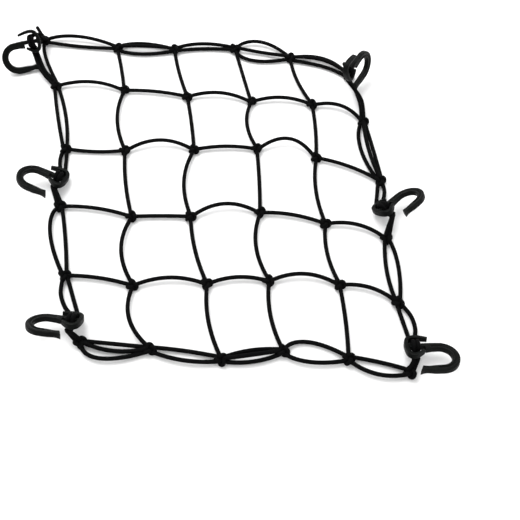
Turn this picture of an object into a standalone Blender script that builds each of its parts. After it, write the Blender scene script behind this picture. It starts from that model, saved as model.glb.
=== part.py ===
"""Elastic cargo net, laid out loose, with six plastic hooks on its border.

One square net of round elastic cord: four cords run across and four run along
inside a border of two or three loose cords, and wrapped knots hold every
crossing.  Six one-piece plastic hooks ride on the border, three on each side.
Lengths are written in millimetres and turned into metres by MM.
"""
import math

import bmesh
import bpy
import numpy as np

MM = 0.001

# ---------------------------------------------------------------- cord and knots
CORD = 4.0             # cord diameter
SIDES = 6              # flats round one cord
SPAN_STEPS = 6         # lengths a bowed cord is bent in between two knots
EASY_STEPS = 3         # the same for a nearly straight cord
EASY_BOW = 5.5         # a cord counts as nearly straight up to this bow
KNOT_HEIGHT = 4.7      # centre of a knot above the ground
KNOT_HALF = 6.4        # half length of a knot along its wraps
KNOT_RIDGE = 6.1       # radius over a wrap
KNOT_VALLEY = 4.9      # radius between two wraps
KNOT_END = 3.0         # radius where a knot stops
SIDE_STEP = 2.4        # half the distance of two cords that leave a knot side by side
CORD_START = 2.0       # a cord starts this far from the middle of its knot
LOW = CORD / 2         # centre of a cord that lies on the ground

# Knots, one row of the table for each cross cord from the far edge to the near
# edge, one column for each lengthwise cord from left to right.
KNOT_X = (
    (-226, -124, -44, 40, 116, 195),
    (-199, -107, -22, 63, 144, 209),
    (-173, -97, -9, 71, 146, 224),
    (-168, -80, -9, 75, 153, 225),
    (-150, -71, 14, 85, 166, 231),
    (-122, -45, 33, 100, 171, 236),
)
KNOT_Y = (
    (247, 234, 230, 232, 215, 181),
    (163, 155, 144, 135, 130, 101),
    (56, 53, 55, 56, 42, 6),
    (-32, -47, -47, -41, -57, -78),
    (-128, -141, -139, -135, -140, -163),
    (-212, -220, -232, -222, -231, -247),
)
ROWS = len(KNOT_X)

# Sideways bow of the single cords between neighbouring knots, away from the
# viewer for a cross cord and to the left for a lengthwise cord.
CROSS_BOW = (
    (9, 3, 9, 8, 11),      # cross cord 1
    (-2, 13, 4, 19, 4),    # cross cord 2
    (4, 1, 13, 4, 8),      # cross cord 3
    (3, 8, 6, 10, 7),      # cross cord 4
)
LENGTH_BOW = (
    (-1, 9, 3, 12, 13),    # lengthwise cord 1
    (2, -1, 10, 4, 6),     # lengthwise cord 2
    (0, 9, -1, 10, 6),     # lengthwise cord 3
    (5, -2, 6, 6, -2),     # lengthwise cord 4
)
LIFT = 1.5             # every free span stands this far off the ground
LIFT_BY_BOW = 0.35     # and a bowed span stands higher by this share of its bow

# Border spans, each cord of the bundle: outward bow, lift, and the share of the
# span at which the bow is widest.  Empty spans are threaded through a hook.
BORDER = {
    "far": (
        ((9, 5, 0.43), (-1, 1, 0.5)),
        ((6, 3, 0.42), (1, 6, 0.5), (-7, 1, 0.40)),
        ((7, 3, 0.45), (4, 1, 0.5)),
        ((16, 4, 0.40), (1, 2, 0.5), (-13, 1, 0.38)),
        ((13, 3, 0.52), (9, 7, 0.55), (6, 1, 0.6)),
    ),
    "left": (
        ((7, 3, 0.3),),
        ((1, 4, 0.5), (-4, 1, 0.5)),
        (),
        ((11, 4, 0.36), (-1, 1, 0.5)),
        (),
    ),
    "near": (
        ((14, 3, 0.34), (6, 2, 0.5), (1, 4, 0.5)),
        ((5, 3, 0.5), (-2, 1, 0.5)),
        ((5, 2, 0.5), (1, 6, 0.5), (-4, 1, 0.5)),
        ((7, 3, 0.42), (-12, 1, 0.36)),
        ((8, 3, 0.5), (-2, 1, 0.5)),
    ),
    "right": (
        ((7, 0, 0.5),),
        ((0, 3, 0.55), (-4, 6, 0.5), (-10, 1, 0.42)),
        (),
        ((5, 3, 0.45), (-4, 1, 0.5)),
        (),
    ),
}

# ---------------------------------------------------------------- hook
HOOK_BEND_IN = 12.5    # inner radius of the bend
HOOK_BEND_OUT = 19.6   # outer radius of the bend
BEND_STEPS = 9         # lengths the bend is made in
HOOK_DEPTH = 5.4       # depth of the hook across its plane
STEM_DEPTH = 5.2       # depth of the stem
HEAD_DEPTH = 6.4       # depth of the head
STEM_V = -18.2         # the stem stands this far to the side of the bend's middle

# Tail of the hook above the bend: outer edge and inner edge of each section,
# both as distance up the hook and distance to the side.
TAIL = (
    # outer_up, outer_side, inner_up, inner_side
    (9.7, 19.3, 9.7, 12.8),
    (17.2, 17.8, 15.8, 13.4),
    (21.2, 18.2, 19.2, 12.8),
    (25.6, 19.9, 21.2, 12.0),
)
# The short arm that ends in a step beside the stem.
STEP = (
    (6.8, -19.1, 6.8, -12.4),
    (13.6, -18.0, 13.0, -11.2),
)
# Straight stem, middle and half width at each height.
STEM = (
    # up, side, half_width
    (-4.9, -17.8, 1.7),
    (9.7, -18.3, 2.0),
    (23.3, -18.1, 1.9),
    (33.5, -17.5, 2.2),
)
# The two prongs of the head, from the stem over the shoulder to the tip.
OUTER_PRONG = (
    # up, side, half_width
    (32.8, -17.5, 1.9),
    (32.6, -23.3, 1.8),
    (30.7, -28.6, 1.7),
    (26.4, -31.2, 1.5),
    (18.2, -31.0, 1.5),
    (9.0, -29.0, 1.2),
)
INNER_PRONG = (
    # up, side, half_width
    (32.7, -17.5, 1.9),
    (32.5, -12.2, 1.8),
    (30.8, -7.5, 1.7),
    (26.7, -5.2, 1.5),
    (22.0, -6.5, 1.5),
    (15.4, -10.8, 1.2),
)

# How the six hooks lie: heading of the stem, rise of the stem and roll of the
# hook about it in degrees, then the middle of the bend, and the face that is
# underneath (+1 the front, -1 the back).
HOOKS = {
    # name: heading, rise, roll, x, y, z, underside
    "hook_far_left": (16, 0, -124, -252.7, 199.3, 18.4, 1),
    "hook_mid_left": (-20, -13, 164, -199.6, -3.9, 22.6, 1),
    "hook_near_left": (-10, 1, 143, -156.9, -200.8, 26.6, 1),
    "hook_far_right": (-123, -9, -77, 209.3, 174.4, 29.3, -1),
    "hook_mid_right": (-136, 0, 34, 250.6, -36.8, 25.6, -1),
    "hook_near_right": (-177, 0, 22, 266.7, -236.8, 20.4, -1),
}

# The cord in a hook's head passes under the outer prong, over the stem and
# under the inner prong; depth is counted towards the underside of the hook.
THREAD = (
    # up, side, depth
    (25.6, -33.2, 6.3),
    (25.6, -29.6, 6.2),
    (25.6, -27.4, 5.3),
    (25.6, -26.5, 3.0),
    (25.6, -24.8, 0.2),
    (25.6, -23.2, -2.6),
    (25.6, -22.3, -4.8),
    (25.6, -20.1, -5.6),
    (25.6, -16.3, -5.6),
    (25.6, -14.1, -4.8),
    (25.8, -13.2, -2.6),
    (26.0, -11.4, 0.2),
    (26.2, -9.7, 3.0),
    (26.4, -8.8, 5.3),
    (26.6, -6.6, 6.2),
    (26.8, -4.4, 6.2),
)
# Where the knot lies beyond the head, the cord first passes under its top.
FROM_TOP = (
    (38.0, -24.0, 7.4),
    (34.5, -24.6, 6.2),
    (30.8, -24.8, 6.1),
    (28.7, -24.8, 5.3),
    (27.5, -24.8, 2.9),
    (26.4, -24.6, 0.2),
    (25.8, -23.2, -2.6),
)
# Where the knot lies behind the hook, the cord comes up straight from below.
FROM_BELOW = (
    (20.8, -22.4, 9.8),
    (25.0, -25.8, 4.8),
    (25.6, -25.2, 0.8),
)
# Past a head that stands steeply the cord keeps clear of the inner prong.
WIDE_WAY_OUT = (
    (27.0, 1.4, 5.2),
)
APPROACH = {
    # name: waypoints before the common path, its first one used, waypoints behind it
    "side": ((), 0, ()),
    "top": (FROM_TOP, 6, WIDE_WAY_OUT),
    "below": (FROM_BELOW, 5, WIDE_WAY_OUT),
}
SECOND_UP = -4.6       # a second cord in a head lies this far below the first
SECOND_SIDE = -1.6     # and this much nearer the stem in the narrowing inner loop
NARROW = 5             # waypoints that lie in the inner loop and behind it
# Threaded spans: side of the net, span number, hook, the way the cord comes to
# the head, the outward bow of each cord on that way, and their bow behind it.
THREADED = (
    # side, span, hook, approach, bows to the head, bow behind it
    ("left", 0, "hook_far_left", "top", (0.0, 0.0), 4.0),
    ("left", 2, "hook_mid_left", "side", (0.0, 3.0), 0.0),
    ("left", 4, "hook_near_left", "side", (0.0, 8.0), 0.0),
    ("right", 0, "hook_far_right", "below", (0.0,), 7.0),
    ("right", 2, "hook_mid_right", "side", (0.0, 5.0), 0.0),
    ("right", 4, "hook_near_right", "side", (0.0, 7.0), 0.0),
)
TAIL_END = (-238.5, 266.5, 12.0)   # cut end of the cord at the far left knot

MIDDLE = (6.9, 5.0)  # plan middle of the whole part in the tables' own axes

CORD_COLOUR = (0.012, 0.012, 0.013, 1.0)
HOOK_COLOUR = (0.016, 0.019, 0.018, 1.0)


def make_material(name, colour, rough):
    """A plain surface of one colour."""
    material = bpy.data.materials.new(name)
    material.use_nodes = True
    shader = material.node_tree.nodes["Principled BSDF"]
    shader.inputs["Base Color"].default_value = colour
    shader.inputs["Roughness"].default_value = rough
    material.diffuse_color = colour
    return material


def make_object(name, points, faces, material=None, smooth=False):
    """A mesh object from points in millimetres and a list of faces."""
    mesh = bpy.data.meshes.new(name)
    mesh.from_pydata([tuple(c * MM for c in p) for p in points], [], faces)
    mesh.update()
    work = bmesh.new()
    work.from_mesh(mesh)
    bmesh.ops.recalc_face_normals(work, faces=work.faces)
    work.to_mesh(mesh)
    work.free()
    thing = bpy.data.objects.new(name, mesh)
    bpy.context.scene.collection.objects.link(thing)
    if material is not None:
        mesh.materials.append(material)
    if smooth:
        mesh.shade_smooth()
    return thing


def skin(rings, base=0):
    """Faces of a closed body whose cross sections are rings of equal count."""
    count = len(rings[0])
    faces = []
    for r in range(len(rings) - 1):
        for k in range(count):
            n = (k + 1) % count
            a = base + r * count
            b = a + count
            faces.append((a + k, a + n, b + n, b + k))
    last = base + (len(rings) - 1) * count
    faces.append(tuple(range(base + count - 1, base - 1, -1)))
    faces.append(tuple(range(last, last + count)))
    return faces


def tube(path, radius):
    """Rings round a path, each square to the path, with one flat facing down."""
    path = np.asarray(path, float)
    ahead = np.gradient(path, axis=0)
    ahead /= np.linalg.norm(ahead, axis=1)[:, None]
    side = np.cross(ahead[0], (0.0, 0.0, 1.0))
    side /= np.linalg.norm(side)
    rings = []
    for point, along in zip(path, ahead):
        side = side - along * side.dot(along)
        side /= np.linalg.norm(side)
        over = np.cross(side, along)
        ring = []
        for k in range(SIDES):
            angle = 2 * math.pi * k / SIDES
            ring.append(point + radius * (math.cos(angle) * side + math.sin(angle) * over))
        rings.append(ring)
    return rings


def bowed(start, end, outward, bow, lift, peak=0.5):
    """A span between two knots: a hump that bows sideways and lifts."""
    steps = SPAN_STEPS if abs(bow) > EASY_BOW else EASY_STEPS
    t = np.linspace(0.0, 1.0, steps + 1)[:, None]
    share = t ** (math.log(0.5) / math.log(peak))
    hump = 4 * share * (1 - share)
    path = start * (1 - t) + end * t + hump * bow * outward
    middle = (start[2] + end[2]) / 2
    path[:, 2:] += hump * (LOW + lift - middle)
    path[:, 2] = np.maximum(path[:, 2], LOW)
    return path


def rotation(heading, rise, roll):
    """Axes of a hook as columns: up its stem, to its side, out of its front."""
    a, b, c = (math.radians(d) for d in (heading, rise, roll))
    up = np.array([math.cos(a) * math.cos(b), math.sin(a) * math.cos(b), math.sin(b)])
    level = np.array([-math.sin(a), math.cos(a), 0.0])
    over = np.cross(up, level)
    side = math.cos(c) * level + math.sin(c) * over
    return np.column_stack([up, side, np.cross(up, side)])


def knot_point(row, column):
    """Middle of the knot at a crossing."""
    return np.array([KNOT_X[row][column], KNOT_Y[row][column], KNOT_HEIGHT], float)


def unit(vector):
    """The same direction with length one."""
    return vector / np.linalg.norm(vector)


def flat_side(direction):
    """Level direction square to the given one, to its left."""
    return unit(np.array([-direction[1], direction[0], 0.0]))


# ---------------------------------------------------------------- pieces of the net
def knot_rings(row, column):
    """A wrapped knot: a barrel with two ridges, flat where it stands."""
    middle = knot_point(row, column)
    turn = math.radians(38 + 97 * ((row * 5 + column * 3) % 4))
    axis = np.array([math.cos(turn), math.sin(turn), 0.0])
    across = flat_side(axis)
    top = np.array([0.0, 0.0, 1.0])
    profile = (
        (-1.0, KNOT_END),
        (-0.55, KNOT_RIDGE),
        (0.0, KNOT_VALLEY),
        (0.55, KNOT_RIDGE),
        (1.0, KNOT_END),
    )
    rings = []
    for place, radius in profile:
        ring = []
        for k in range(SIDES):
            angle = 2 * math.pi * k / SIDES
            point = middle + axis * (place * KNOT_HALF)
            point = point + radius * (math.cos(angle) * across + math.sin(angle) * top)
            if abs(place) < 0.9 and math.sin(angle) < -0.5:
                point[2] = 0.0
            ring.append(point)
        rings.append(ring)
    return rings


def span_ends(a, b, offset, rise):
    """Start and end of a cord inside its two knots, set to one side and raised."""
    along = unit(b - a)
    side = flat_side(along)
    shift = side * offset + np.array([0.0, 0.0, rise])
    return a + along * CORD_START + shift, b - along * CORD_START + shift


def inner_spans():
    """Single cords across and along the inside of the net, as two groups."""
    across = []
    along = []
    for row in range(1, ROWS - 1):
        for n, bow in enumerate(CROSS_BOW[row - 1]):
            a, b = span_ends(knot_point(row, n), knot_point(row, n + 1), 0.0, 0.0)
            across.append(bowed(a, b, flat_side(b - a), bow, LIFT + LIFT_BY_BOW * bow))
    for column in range(1, ROWS - 1):
        for n, bow in enumerate(LENGTH_BOW[column - 1]):
            a, b = span_ends(knot_point(n, column), knot_point(n + 1, column), 0.0, 0.0)
            outward = -flat_side(b - a)
            along.append(bowed(a, b, outward, bow, LIFT + LIFT_BY_BOW * bow))
    return across, along


def side_knots(side, n):
    """The two knots of a border span and the level direction out of the net."""
    last = ROWS - 1
    ends = {
        "far": ((0, n), (0, n + 1), 1.0),
        "near": ((last, n), (last, n + 1), -1.0),
        "left": ((n, 0), (n + 1, 0), -1.0),
        "right": ((n, last), (n + 1, last), 1.0),
    }[side]
    a = knot_point(*ends[0])
    b = knot_point(*ends[1])
    return a, b, flat_side(b - a) * ends[2]


def border_spans():
    """Border cords in six groups, so no two cords of a group touch."""
    groups = [[] for _ in range(6)]
    places = {0: (), 1: ((0.0, 0.0),), 2: ((1, -0.3), (-1, 0.3)), 3: ((1, -0.9), (0, 2.4), (-1, -0.9))}
    for side, spans in BORDER.items():
        shift = 0 if side in ("far", "near") else 3
        for n, cords in enumerate(spans):
            a, b, outward = side_knots(side, n)
            sign = 1.0 if flat_side(b - a).dot(outward) > 0 else -1.0
            for k, (bow, lift, peak) in enumerate(cords):
                place, rise = places[len(cords)][k]
                if side in ("left", "right") and len(cords) == 1:
                    place = -1
                start, end = span_ends(a, b, sign * place * SIDE_STEP, rise)
                groups[shift + k].append(bowed(start, end, outward, bow, lift, peak))
    return groups


def threaded_spans():
    """Border cords that pass through the heads of the hooks, first and second."""
    groups = [[], []]
    for side, n, name, approach, bows, after in THREADED:
        a, b, outward = side_knots(side, n)
        heading, rise, roll, x, y, z, under = HOOKS[name]
        axes = rotation(heading, rise, roll)
        for k, bow in enumerate(bows):
            before, skip, behind = APPROACH[approach]
            local = np.array(before + THREAD[skip:] + behind, float)
            local[:, 0] += k * SECOND_UP
            local[-NARROW - len(behind):, 1] += k * SECOND_SIDE
            local[:, 2] *= under
            inside = local @ axes.T + np.array([x, y, z])
            inside[:, 2] = np.maximum(inside[:, 2], LOW)
            shift = outward * SIDE_STEP * (1.0 if k or len(bows) == 1 else -1.0)
            first = a + unit(inside[0] - a) * CORD_START + shift
            final = b + unit(inside[-1] - b) * CORD_START + shift
            steps = (0.3, 0.65) if bow > EASY_BOW else (0.5,)
            lead = [first + (inside[0] - first) * t + outward * bow * 4 * t * (1 - t)
                    for t in steps]
            trail = (final + inside[-1]) / 2 + outward * after
            groups[k].append(np.vstack([first, *lead, inside, trail, final]))
    return groups


def lump(name, bodies):
    """One object that holds several separate closed bodies."""
    points = []
    faces = []
    for rings in bodies:
        faces.extend(skin(rings, len(points)))
        for ring in rings:
            points.extend(ring)
    return make_object(name, points, faces)


def join(target, other):
    """Fuse another object into the target and remove the other."""
    step = target.modifiers.new("fuse", "BOOLEAN")
    step.operation = "UNION"
    step.solver = "EXACT"
    step.use_self = True
    step.object = other
    graph = bpy.context.evaluated_depsgraph_get()
    mesh = bpy.data.meshes.new_from_object(target.evaluated_get(graph))
    target.modifiers.clear()
    old = target.data
    target.data = mesh
    bpy.data.meshes.remove(old)
    bpy.data.objects.remove(other, do_unlink=True)


def build_net(material):
    """The whole net as one fused body."""
    radius = CORD / 2
    knots = [knot_rings(r, c) for r in range(ROWS) for c in range(ROWS)]
    net = lump("net", knots)
    across, along = inner_spans()
    groups = [across, along, *border_spans(), *threaded_spans()]
    for n, group in enumerate(groups):
        if group:
            join(net, lump("group_%d" % n, [tube(path, radius) for path in group]))
    corner = knot_point(0, 0)
    tail = np.array([corner + (-1.0, 2.0, 1.0), np.array(TAIL_END)])
    join(net, lump("tail", [tube(tail, radius)]))
    net.data.name = "net"
    net.data.materials.clear()
    net.data.materials.append(material)
    for polygon in net.data.polygons:
        polygon.material_index = 0
    return net


# ---------------------------------------------------------------- hooks
def ribbon(sections, depth):
    """A flat bar from sections given by their outer and inner edge points."""
    half = depth / 2
    rings = []
    for outer_u, outer_v, inner_u, inner_v in sections:
        rings.append([
            (outer_u, outer_v, -half),
            (outer_u, outer_v, half),
            (inner_u, inner_v, half),
            (inner_u, inner_v, -half),
        ])
    return rings


def strip(sections, depth):
    """A flat bar from sections given by middle and half width."""
    line = np.array([(u, v) for u, v, _ in sections], float)
    ahead = np.gradient(line, axis=0)
    ahead /= np.linalg.norm(ahead, axis=1)[:, None]
    square = np.column_stack([-ahead[:, 1], ahead[:, 0]])
    width = np.array([w for _, _, w in sections])[:, None]
    outer = line + square * width
    inner = line - square * width
    return ribbon(np.hstack([outer, inner]).tolist(), depth)


def hook_sections():
    """Edge points of the bend with its tail and its stepped arm."""
    rows = [row for row in reversed(TAIL)]
    for k in range(BEND_STEPS + 1):
        angle = math.pi * k / BEND_STEPS
        u = -math.sin(angle)
        v = math.cos(angle)
        rows.append((u * HOOK_BEND_OUT, v * HOOK_BEND_OUT, u * HOOK_BEND_IN, v * HOOK_BEND_IN))
    rows.extend(STEP)
    return rows


def build_hook(name, material):
    """One plastic hook, laid as the table says."""
    heading, rise, roll, x, y, z, _ = HOOKS[name]
    hook = lump(name, [ribbon(hook_sections(), HOOK_DEPTH)])
    join(hook, lump("stem", [strip(STEM, STEM_DEPTH)]))
    join(hook, lump("outer", [strip(OUTER_PRONG, HEAD_DEPTH)]))
    join(hook, lump("inner", [strip(INNER_PRONG, HEAD_DEPTH - 0.1)]))
    axes = rotation(heading, rise, roll)
    count = len(hook.data.vertices)
    points = np.empty(count * 3)
    hook.data.vertices.foreach_get("co", points)
    points = points.reshape(-1, 3) @ axes.T + np.array([x, y, z]) * MM
    hook.data.vertices.foreach_set("co", points.ravel())
    hook.data.update()
    hook.data.name = name
    hook.data.materials.clear()
    hook.data.materials.append(material)
    for polygon in hook.data.polygons:
        polygon.material_index = 0
    return hook


def main():
    """Build the net and its hooks."""
    for thing in list(bpy.data.objects):
        bpy.data.objects.remove(thing, do_unlink=True)
    cord = make_material("cord", CORD_COLOUR, 0.72)
    build_net(cord)
    for name in HOOKS:
        build_hook(name, make_material(name + "_plastic", HOOK_COLOUR, 0.42))
    for thing in bpy.data.objects:
        points = np.empty(len(thing.data.vertices) * 3)
        thing.data.vertices.foreach_get("co", points)
        points = points.reshape(-1, 3) - np.array([*MIDDLE, 0.0]) * MM
        thing.data.vertices.foreach_set("co", points.ravel())
        thing.data.update()


main()
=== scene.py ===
"""Looks of an elastic cargo net with six plastic hooks, laid out loose on a pale floor.

The net is round elastic cord in a braided sheath: four single cords across and
four along inside a border of two or three loose cords, with a tied knot at each
crossing.  The hooks are one moulding each: a grooved bend with a flared tail, a
step beside the stem, and a two-pronged head that the border cord is laid through.
Lengths are in millimetres in the maker's own axes; `placed` turns them into
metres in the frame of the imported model.
"""
from __future__ import annotations

import logging
import math
from dataclasses import dataclass, field
from enum import Enum
from typing import Iterable, Sequence

import bpy
import numpy as np
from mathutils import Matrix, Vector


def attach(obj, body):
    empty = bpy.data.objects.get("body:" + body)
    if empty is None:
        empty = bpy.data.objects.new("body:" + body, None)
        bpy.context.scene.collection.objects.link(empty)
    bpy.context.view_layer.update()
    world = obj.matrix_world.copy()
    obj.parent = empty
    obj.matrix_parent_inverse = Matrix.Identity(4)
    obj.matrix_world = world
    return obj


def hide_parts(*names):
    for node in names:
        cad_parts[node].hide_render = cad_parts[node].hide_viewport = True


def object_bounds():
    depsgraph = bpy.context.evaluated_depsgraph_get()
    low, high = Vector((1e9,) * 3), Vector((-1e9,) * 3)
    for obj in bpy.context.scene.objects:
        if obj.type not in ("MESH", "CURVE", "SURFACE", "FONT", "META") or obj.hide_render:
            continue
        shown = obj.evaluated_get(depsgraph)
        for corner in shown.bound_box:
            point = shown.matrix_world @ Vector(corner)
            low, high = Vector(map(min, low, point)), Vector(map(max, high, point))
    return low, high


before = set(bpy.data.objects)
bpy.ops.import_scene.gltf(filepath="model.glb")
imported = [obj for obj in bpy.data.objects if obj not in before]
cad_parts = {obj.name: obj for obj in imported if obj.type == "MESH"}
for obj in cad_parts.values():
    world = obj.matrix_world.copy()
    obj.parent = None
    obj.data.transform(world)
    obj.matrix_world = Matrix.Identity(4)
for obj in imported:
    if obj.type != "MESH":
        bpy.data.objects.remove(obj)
CAD_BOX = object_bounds()

log = logging.getLogger("cargo_net")

MM = 0.001
MIDDLE = (6.9, 5.0)        # plan middle of the whole part in the maker's axes

# ---------- how the net lies
CORD_RADIUS = 2.45         # a little over the solid's 2.0, so that it looks its real thickness
LOW = CORD_RADIUS          # centre of a cord that lies on the ground
KNOT_HEIGHT = 4.7          # centre of a knot above the ground
SIDE_STEP = 2.4            # half the distance of two cords that leave a knot side by side
CORD_START = 2.0           # a cord starts this far from the middle of its knot
LIFT = 1.5                 # every free span stands this far off the ground
LIFT_BY_BOW = 0.35         # and a bowed span stands higher by this share of its bow
KNOT_TURN = 38             # turn of the first knot, in degrees,
COARSE_TURN = 97           # steps by which the other knots turn further,
FINE_TURN = 23
KNOT_TILT = 7              # and step by which they tilt

# Knots, one row for each cross cord from the far edge to the near edge, one
# column for each lengthwise cord from left to right.
KNOT_X = (
    (-226, -124, -44, 40, 116, 195),
    (-199, -107, -22, 63, 144, 209),
    (-173, -97, -9, 71, 146, 224),
    (-168, -80, -9, 75, 153, 225),
    (-150, -71, 14, 85, 166, 231),
    (-122, -45, 33, 100, 171, 236),
)
KNOT_Y = (
    (247, 234, 230, 232, 215, 181),
    (163, 155, 144, 135, 130, 101),
    (56, 53, 55, 56, 42, 6),
    (-32, -47, -47, -41, -57, -78),
    (-128, -141, -139, -135, -140, -163),
    (-212, -220, -232, -222, -231, -247),
)
ROWS = len(KNOT_X)

# Bow of the single cords between knots: away from the viewer for a cross cord,
# to the left for a lengthwise cord.
CROSS_BOW = (
    (9, 3, 9, 8, 11),
    (-2, 13, 4, 19, 4),
    (4, 1, 13, 4, 8),
    (3, 8, 6, 10, 7),
)
LENGTH_BOW = (
    (-1, 9, 3, 12, 13),
    (2, -1, 10, 4, 6),
    (0, 9, -1, 10, 6),
    (5, -2, 6, 6, -2),
)

# Border spans, each free cord: outward bow, lift, and the share of the span at
# which the bow is widest.  THREADED adds the cords that pass through a hook.
BORDER = {
    "far": (
        ((9, 5, 0.43), (-1, 1, 0.5)),
        ((6, 3, 0.42), (1, 6, 0.5), (-7, 1, 0.40)),
        ((7, 3, 0.45), (4, 1, 0.5)),
        ((16, 4, 0.40), (1, 2, 0.5), (-13, 1, 0.38)),
        ((13, 3, 0.52), (9, 7, 0.55), (6, 1, 0.6)),
    ),
    "left": (
        ((7, 3, 0.3),),
        ((1, 4, 0.5), (-4, 1, 0.5)),
        (),
        ((11, 4, 0.36), (-1, 1, 0.5)),
        (),
    ),
    "near": (
        ((14, 3, 0.34), (6, 2, 0.5), (1, 4, 0.5)),
        ((5, 3, 0.5), (-2, 1, 0.5)),
        ((5, 2, 0.5), (1, 6, 0.5), (-4, 1, 0.5)),
        ((7, 3, 0.42), (-12, 1, 0.36)),
        ((8, 3, 0.5), (-2, 1, 0.5)),
    ),
    "right": (
        ((7, 0, 0.5),),
        ((0, 3, 0.55), (-4, 6, 0.5), (-10, 1, 0.42)),
        (),
        ((5, 3, 0.45), (-4, 1, 0.5)),
        (),
    ),
}
# Where the free cords of a span leave a knot, by how many there are: outward from
# its centre in steps of SIDE_STEP, and height above it.
BUNDLE = {
    1: ((-1.0, 0.0),),
    2: ((1.0, -0.3), (-1.0, 0.3)),
    3: ((1.0, -0.9), (0.0, 2.4), (-1.0, -0.9)),
}

# The short cut end at the far left knot: its first and middle points from the
# knot's middle and from the straight line, and where it stops.
CUT_ROOT = (-1.0, 2.0, 1.0)
CUT_BOW = (0.6, -0.8, 0.5)
CUT_TIP = (-238.5, 266.5, 12.0)
CUT_SHAPE = (1.04, 0.98, 0.72)     # radius of its last three rings as shares of the cord's

# How the hooks lie: heading of the stem, rise of the stem and roll about it in
# degrees, the middle of the bend, and the face underneath (+1 front, -1 back).
HOOKS = {
    "hook_far_left": (16, 0, -124, -252.7, 199.3, 18.4, 1),
    "hook_mid_left": (-20, -13, 164, -199.6, -3.9, 22.6, 1),
    "hook_near_left": (-10, 1, 143, -156.9, -200.8, 26.6, 1),
    "hook_far_right": (-123, -9, -77, 209.3, 174.4, 29.3, -1),
    "hook_mid_right": (-136, 0, 34, 250.6, -36.8, 25.6, -1),
    "hook_near_right": (-177, 0, 22, 266.7, -236.8, 20.4, -1),
}

# Ways of the cord through a hook's head.  Each row is a point: up the stem, to its
# side, and out of the face underneath.  The common way goes under the outer prong,
# over the stem and under the inner prong.
THREAD = (
    (25.6, -33.2, 6.3),
    (25.6, -29.6, 6.2),
    (25.6, -27.4, 5.3),
    (25.6, -26.5, 3.0),
    (25.6, -24.8, 0.2),
    (25.6, -23.2, -2.6),
    (25.6, -22.3, -4.8),
    (25.6, -20.1, -5.6),
    (25.6, -16.3, -5.6),
    (25.6, -14.1, -4.8),
    (25.8, -13.2, -2.6),
    (26.0, -11.4, 0.2),
    (26.2, -9.7, 3.0),
    (26.4, -8.8, 5.3),
    (26.6, -6.6, 6.2),
    (26.8, -4.4, 6.2),
)
# In over the crown of a head that stands steeply.
FROM_TOP = (
    (38.0, -24.0, 7.4),
    (34.5, -24.6, 6.2),
    (30.8, -24.8, 6.1),
    (28.7, -24.8, 5.3),
    (27.5, -24.8, 2.9),
    (26.4, -24.6, 0.2),
    (25.8, -23.2, -2.6),
)
# In beside the stem of such a head.
FROM_BELOW = (
    (20.8, -22.4, 9.8),
    (25.0, -25.8, 4.8),
    (25.6, -25.2, 0.8),
)
# Out of such a head, clear of the inner prong.
WIDE_WAY_OUT = (
    (27.0, 1.4, 5.2),
)
SECOND_UP = -4.6           # a second cord in a head lies this far down the stem,
SECOND_SIDE = -1.6         # and its last points this far nearer the stem:
NARROW = 5                 # so many of the common way, and those after it
LEAD = (0.5,)              # shares of the way to a head at which a straight cord has points,
BOWED_LEAD = (0.35, 0.7)   # and a bowed one


class Approach(Enum):
    """Ways past a head: points before the common way, how many of it to skip, points after."""

    SIDE = ((), 0, ())
    TOP = (FROM_TOP, 6, WIDE_WAY_OUT)
    BELOW = (FROM_BELOW, 5, WIDE_WAY_OUT)


# Threaded spans: side of the border, span, hook, approach, outward bow of each
# cord on its way to the head, and outward bow behind the head.
THREADED = (
    ("left", 0, "hook_far_left", Approach.TOP, (0.0, 0.0), 4.0),
    ("left", 2, "hook_mid_left", Approach.SIDE, (0.0, 3.0), 0.0),
    ("left", 4, "hook_near_left", Approach.SIDE, (0.0, 8.0), 0.0),
    ("right", 0, "hook_far_right", Approach.BELOW, (0.0,), 7.0),
    ("right", 2, "hook_mid_right", Approach.SIDE, (0.0, 5.0), 0.0),
    ("right", 4, "hook_near_right", Approach.SIDE, (0.0, 7.0), 0.0),
)


# ---------- shader maths
@dataclass(frozen=True)
class Signal:
    """A number that a shader socket carries; sums and products of it add Math nodes."""

    bench: NodeBench
    socket: bpy.types.NodeSocket

    def __add__(self, other: Signal | float) -> Signal:
        """Sum."""
        return self.bench.maths("ADD", self, other)

    def __radd__(self, other: float) -> Signal:
        """Sum with a plain number first."""
        return self.bench.maths("ADD", other, self)

    def __sub__(self, other: Signal | float) -> Signal:
        """Difference."""
        return self.bench.maths("SUBTRACT", self, other)

    def __rsub__(self, other: float) -> Signal:
        """Difference with a plain number first."""
        return self.bench.maths("SUBTRACT", other, self)

    def __mul__(self, other: Signal | float) -> Signal:
        """Product."""
        return self.bench.maths("MULTIPLY", self, other)

    def __rmul__(self, other: float) -> Signal:
        """Product with a plain number first."""
        return self.bench.maths("MULTIPLY", other, self)

    def __pow__(self, other: float) -> Signal:
        """Power."""
        return self.bench.maths("POWER", self, other)

    def fraction(self) -> Signal:
        """Part after the whole number."""
        return self.bench.maths("FRACT", self)

    def whole(self) -> Signal:
        """Whole number below."""
        return self.bench.maths("FLOOR", self)

    def sine(self) -> Signal:
        """Sine of an angle in radians."""
        return self.bench.maths("SINE", self)

    def modulo(self, divisor: float) -> Signal:
        """Remainder that is never negative."""
        return self.bench.maths("FLOORED_MODULO", self, divisor)

    def clamped(self) -> Signal:
        """The same between 0 and 1."""
        return self.bench.maths("ADD", self, 0.0, clamp=True)

    def between(self, low: float, high: float) -> Signal:
        """0 at or below low, 1 at or above high, smooth in between."""
        node = self.bench.node("ShaderNodeMapRange", {"interpolation_type": "SMOOTHSTEP"},
                               {"Value": self, "From Min": low, "From Max": high})
        return Signal(self.bench, node.outputs["Result"])


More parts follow.
